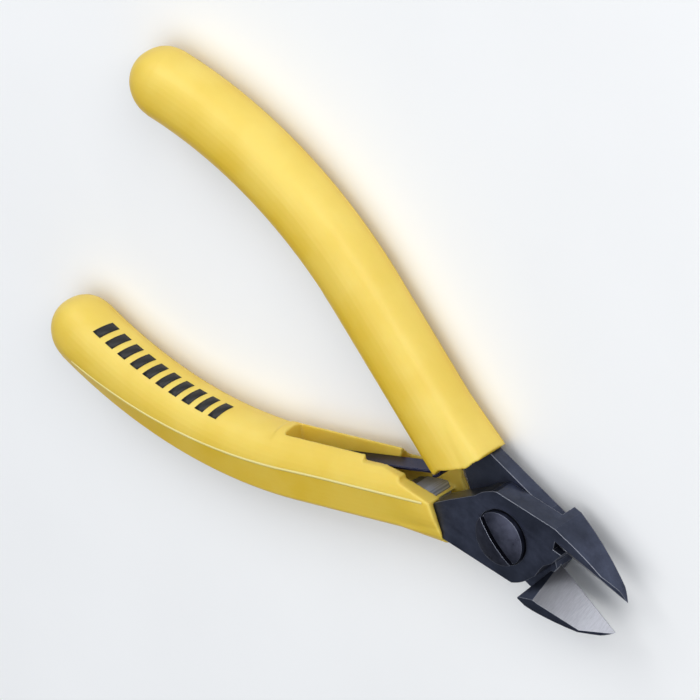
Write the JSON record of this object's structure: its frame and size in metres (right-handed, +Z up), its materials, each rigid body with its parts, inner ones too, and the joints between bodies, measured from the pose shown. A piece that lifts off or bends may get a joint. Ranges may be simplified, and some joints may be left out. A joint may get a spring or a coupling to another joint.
{
  "type": "flush cutter",
  "caption": "Small flush cutter with lapped steel jaws on a slotted pivot screw, curved moulded handle sleeves and leaf springs that open it.",
  "frame": {"origin": "on the surface the tool lies on, under the middle of its bounding box at rest", "axes": "+X along the tool from the handles to the jaw tips, +Y from the lower handle towards the handle of the half under the lap, +Z up, along the pivot screw to its slotted head"},
  "size_m": [0.1092, 0.0644, 0.01],
  "materials": {
    "near_half": "ground, dark",
    "far_half": "ground, dark",
    "pivot_screw": "turned, blued",
    "near_sleeve": "smooth moulded",
    "far_sleeve": "smooth moulded",
    "near_leaf_spring": "blued spring steel",
    "far_leaf_spring": "blued spring steel",
    "near_spring_rivet": "bright",
    "far_spring_rivet": "bright"
  },
  "bodies": {
    "near_body": {"near_half": "near_half", "near_sleeve": "near_sleeve", "near_spring_rivet": "near_spring_rivet"},
    "far_body": {"far_half": "far_half", "far_sleeve": "far_sleeve", "far_spring_rivet": "far_spring_rivet", "pivot_screw": "pivot_screw"},
    "near_leaf": {"near_leaf_spring": "near_leaf_spring"},
    "far_leaf": {"far_leaf_spring": "far_leaf_spring"}
  },
  "joints": [
    {"name": "jaw_pivot", "type": "hinge", "parent": "near_body", "child": "far_body", "pos_m": [0.03295, 0, 0.0049], "axis": [0, 0, 1], "range_deg": [0, 16.4]},
    {"name": "near_leaf_flex", "type": "hinge", "parent": "near_body", "child": "near_leaf", "pos_m": [-0.004, -0.015, 0.0049], "axis": [0, 0, 1], "range_deg": [-5.6, 0]},
    {"name": "far_leaf_flex", "type": "hinge", "parent": "far_body", "child": "far_leaf", "pos_m": [-0.004, 0.015, 0.0049], "axis": [0, 0, 1], "range_deg": [0, 5.6]}
  ],
  "couplings": [
    {"joint": "near_leaf_flex", "follows": "jaw_pivot", "ratio": -0.333},
    {"joint": "far_leaf_flex", "follows": "jaw_pivot", "ratio": 0.333}
  ]
}
